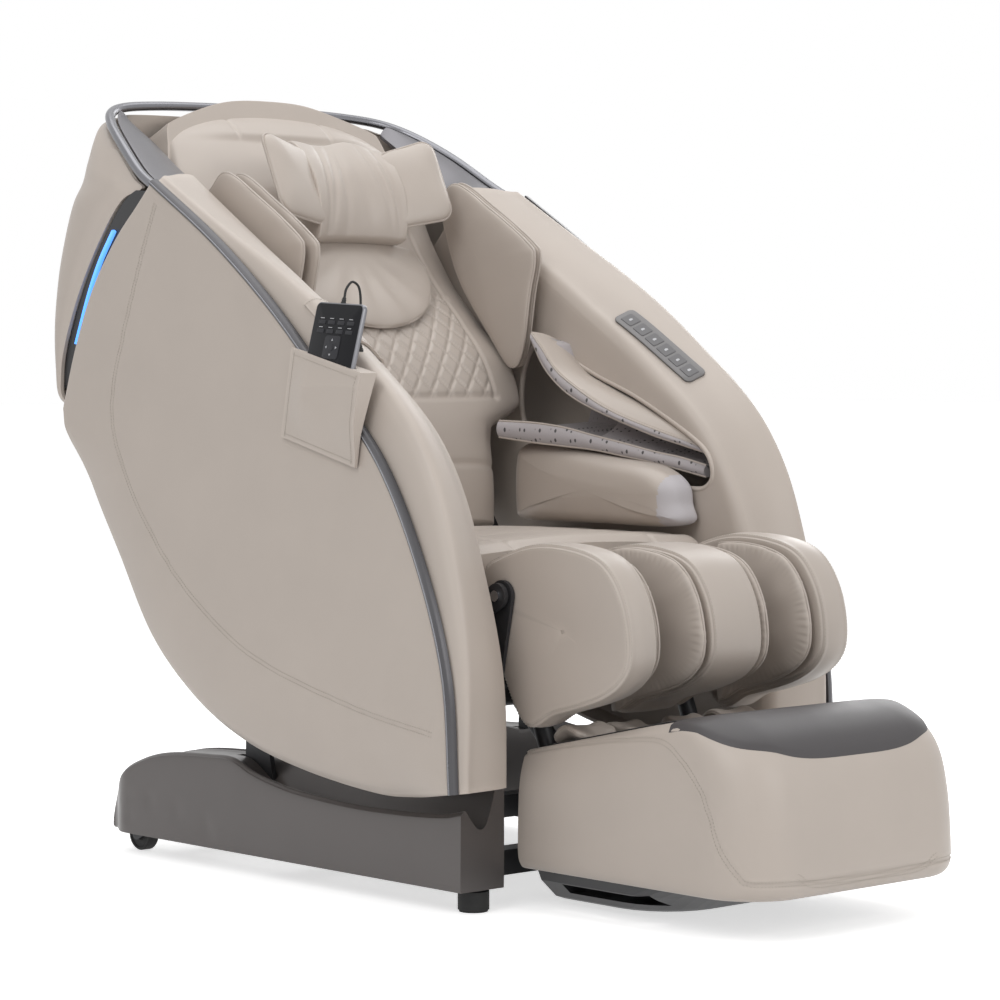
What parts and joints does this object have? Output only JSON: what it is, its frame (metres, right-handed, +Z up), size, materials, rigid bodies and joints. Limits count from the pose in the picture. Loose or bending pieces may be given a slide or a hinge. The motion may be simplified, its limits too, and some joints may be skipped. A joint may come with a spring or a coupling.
{
  "type": "massage chair",
  "caption": "Full-body massage chair with leather side shells, reclining padded back, massage carriage, calf and foot rests, remote pocket and steel base.",
  "frame": {"origin": "on the floor, under the middle of the chair's box", "axes": "+Z up, -Y the way the sitter faces, +X to the sitter's left"},
  "size_m": [0.809, 1.399, 1.2007],
  "materials": {
    "shell_leather": "satin",
    "cushion_leather": "satin",
    "mesh_fabric": "matte",
    "gunmetal": "satin",
    "strip_metal": "satin",
    "base_paint": "satin",
    "frame_steel": "satin",
    "bright_steel": "satin",
    "black_plastic": "satin",
    "dark_panel": "satin",
    "rubber": "matte",
    "panel_grey": "satin",
    "key_grey": "satin",
    "remote_black": "gloss",
    "keypad": "matte",
    "switch_red": "gloss",
    "led_lens": "gloss"
  },
  "bodies": {
    "base": {"base_cover_right": "base_paint", "base_cover_left": "base_paint", "base_frame": "frame_steel", "front_feet": "rubber", "power_box": "black_plastic"},
    "rear_wheel_right": {"rear_wheel_right": "rubber"},
    "rear_wheel_left": {"rear_wheel_left": "rubber"},
    "power_switch": {"power_switch": "switch_red"},
    "seat": {"seat_frame": "frame_steel", "seat_pan": "frame_steel", "hinge_pins": "bright_steel", "seat_cushion": "cushion_leather", "hip_cushions": "cushion_leather", "side_shell_right": "shell_leather", "side_shell_left": "shell_leather", "arm_band_right": "shell_leather", "arm_band_left": "shell_leather", "chrome_strips": "strip_metal", "forearm_pads": "mesh_fabric", "control_panel": "panel_grey", "remote_pocket": "shell_leather", "remote_body": "remote_black", "remote_keypad": "keypad", "remote_cord": "rubber", "cord_gland": "rubber"},
    "panel_key_1": {"panel_key_1": "key_grey"},
    "panel_key_2": {"panel_key_2": "key_grey"},
    "panel_key_3": {"panel_key_3": "key_grey"},
    "panel_key_4": {"panel_key_4": "key_grey"},
    "panel_key_5": {"panel_key_5": "key_grey"},
    "panel_key_6": {"panel_key_6": "key_grey"},
    "nav_pad": {"nav_pad": "keypad"},
    "back": {"back_frame": "frame_steel", "back_shell": "shell_leather", "top_rail": "strip_metal", "top_caps": "gunmetal", "led_housings": "black_plastic", "led_lenses": "led_lens", "back_cushion": "cushion_leather", "head_pillow": "cushion_leather", "neck_flap": "cushion_leather", "shoulder_pads": "cushion_leather"},
    "massage_carriage": {"massage_carriage": "frame_steel"},
    "roller_arm_right": {"roller_arm_right": "black_plastic"},
    "roller_arm_left": {"roller_arm_left": "black_plastic"},
    "leg": {"leg_frame": "frame_steel", "calf_cushion": "cushion_leather", "calf_airbags": "cushion_leather"},
    "foot": {"foot_slide_rails": "bright_steel", "foot_shell": "shell_leather", "foot_panel": "dark_panel", "foot_base": "black_plastic", "foot_pads": "cushion_leather"},
    "foot_rollers": {"foot_rollers": "black_plastic"},
    "tilt_actuator_tube": {"tilt_actuator_tube": "black_plastic"},
    "tilt_actuator_rod": {"tilt_actuator_rod": "bright_steel"},
    "recline_actuator_tube": {"recline_actuator_tube": "black_plastic"},
    "recline_actuator_rod": {"recline_actuator_rod": "bright_steel"},
    "leg_actuator_tube": {"leg_actuator_tube": "black_plastic"},
    "leg_actuator_rod": {"leg_actuator_rod": "bright_steel"}
  },
  "joints": [
    {"name": "zero_gravity_tilt", "type": "hinge", "parent": "base", "child": "seat", "pos_m": [0, 0.28, 0.25], "axis": [-1, 0, 0], "range_deg": [0, 22]},
    {"name": "back_recline", "type": "hinge", "parent": "seat", "child": "back", "pos_m": [0, 0.27, 0.43], "axis": [-1, 0, 0], "range_deg": [0, 45]},
    {"name": "leg_raise", "type": "hinge", "parent": "seat", "child": "leg", "pos_m": [0, -0.215, 0.445], "axis": [-1, 0, 0], "range_deg": [0, 70]},
    {"name": "foot_extend", "type": "slide", "parent": "leg", "child": "foot", "axis": [0, -0.3697, -0.9291], "range_m": [0, 0.1]},
    {"name": "foot_rollers_spin", "type": "hinge", "parent": "foot", "child": "foot_rollers", "pos_m": [0, -0.42, 0.06], "axis": [1, 0, 0], "continuous": true},
    {"name": "rear_wheel_right_spin", "type": "hinge", "parent": "base", "child": "rear_wheel_right", "pos_m": [-0.2775, 0.577, 0.027], "axis": [1, 0, 0], "continuous": true},
    {"name": "rear_wheel_left_spin", "type": "hinge", "parent": "base", "child": "rear_wheel_left", "pos_m": [0.2775, 0.577, 0.027], "axis": [1, 0, 0], "continuous": true},
    {"name": "power_switch_rock", "type": "hinge", "parent": "base", "child": "power_switch", "pos_m": [0.0203, 0.589, 0.1063], "axis": [1, 0, 0], "range_deg": [0, 6]},
    {"name": "carriage_travel", "type": "slide", "parent": "back", "child": "massage_carriage", "axis": [0, 0.4195, 0.9078], "range_m": [-0.12, 0.25]},
    {"name": "roller_arm_right_tap", "type": "hinge", "parent": "massage_carriage", "child": "roller_arm_right", "pos_m": [-0.059, 0.47123, 0.76685], "axis": [1, 0, 0], "range_deg": [-8, 8]},
    {"name": "roller_arm_left_tap", "type": "hinge", "parent": "massage_carriage", "child": "roller_arm_left", "pos_m": [0.059, 0.47123, 0.76685], "axis": [1, 0, 0], "range_deg": [-8, 8]},
    {"name": "tilt_actuator_swing", "type": "hinge", "parent": "base", "child": "tilt_actuator_tube", "pos_m": [0, -0.178, 0.104], "axis": [1, 0, 0], "range_deg": [0, 3.74]},
    {"name": "tilt_actuator_stroke", "type": "slide", "parent": "tilt_actuator_tube", "child": "tilt_actuator_rod", "axis": [0, 0.7252, 0.6886], "range_m": [0, 0.08512]},
    {"name": "recline_actuator_swing", "type": "hinge", "parent": "seat", "child": "recline_actuator_tube", "pos_m": [0.07, -0.07, 0.31], "axis": [1, 0, 0], "range_deg": [-1.8, 0]},
    {"name": "recline_actuator_stroke", "type": "slide", "parent": "recline_actuator_tube", "child": "recline_actuator_rod", "axis": [0, 0.9973, 0.0738], "range_m": [-0.08016, 0]},
    {"name": "leg_actuator_swing", "type": "hinge", "parent": "seat", "child": "leg_actuator_tube", "pos_m": [-0.07, 0.15, 0.286], "axis": [1, 0, 0], "range_deg": [-2.8, 0]},
    {"name": "leg_actuator_stroke", "type": "slide", "parent": "leg_actuator_tube", "child": "leg_actuator_rod", "axis": [0, -0.9637, 0.2671], "range_m": [0, 0.06738]},
    {"name": "panel_key_1_press", "type": "slide", "parent": "seat", "child": "panel_key_1", "axis": [0.5696, 0.4532, -0.6857], "range_m": [0, 0.001], "stiffness_N_per_m": 300},
    {"name": "panel_key_2_press", "type": "slide", "parent": "seat", "child": "panel_key_2", "axis": [0.5704, 0.4725, -0.6719], "range_m": [0, 0.001], "stiffness_N_per_m": 300},
    {"name": "panel_key_3_press", "type": "slide", "parent": "seat", "child": "panel_key_3", "axis": [0.5711, 0.4877, -0.6603], "range_m": [0, 0.001], "stiffness_N_per_m": 300},
    {"name": "panel_key_4_press", "type": "slide", "parent": "seat", "child": "panel_key_4", "axis": [0.5714, 0.4924, -0.6565], "range_m": [0, 0.001], "stiffness_N_per_m": 300},
    {"name": "panel_key_5_press", "type": "slide", "parent": "seat", "child": "panel_key_5", "axis": [0.5718, 0.4917, -0.6567], "range_m": [0, 0.001], "stiffness_N_per_m": 300},
    {"name": "panel_key_6_press", "type": "slide", "parent": "seat", "child": "panel_key_6", "axis": [0.5724, 0.488, -0.659], "range_m": [0, 0.001], "stiffness_N_per_m": 300},
    {"name": "nav_pad_press", "type": "slide", "parent": "seat", "child": "nav_pad", "axis": [0.9756, 0.012, -0.2194], "range_m": [0, 0.0006], "stiffness_N_per_m": 300}
  ],
  "couplings": [
    {"joint": "roller_arm_left_tap", "follows": "roller_arm_right_tap", "ratio": -1},
    {"joint": "tilt_actuator_swing", "follows": "zero_gravity_tilt", "ratio": 0.17},
    {"joint": "tilt_actuator_stroke", "follows": "zero_gravity_tilt", "m_per_rad": 0.22147},
    {"joint": "recline_actuator_swing", "follows": "back_recline", "ratio": -0.04},
    {"joint": "recline_actuator_stroke", "follows": "back_recline", "m_per_rad": -0.10196},
    {"joint": "leg_actuator_swing", "follows": "leg_raise", "ratio": -0.04},
    {"joint": "leg_actuator_stroke", "follows": "leg_raise", "m_per_rad": 0.055098}
  ]
}
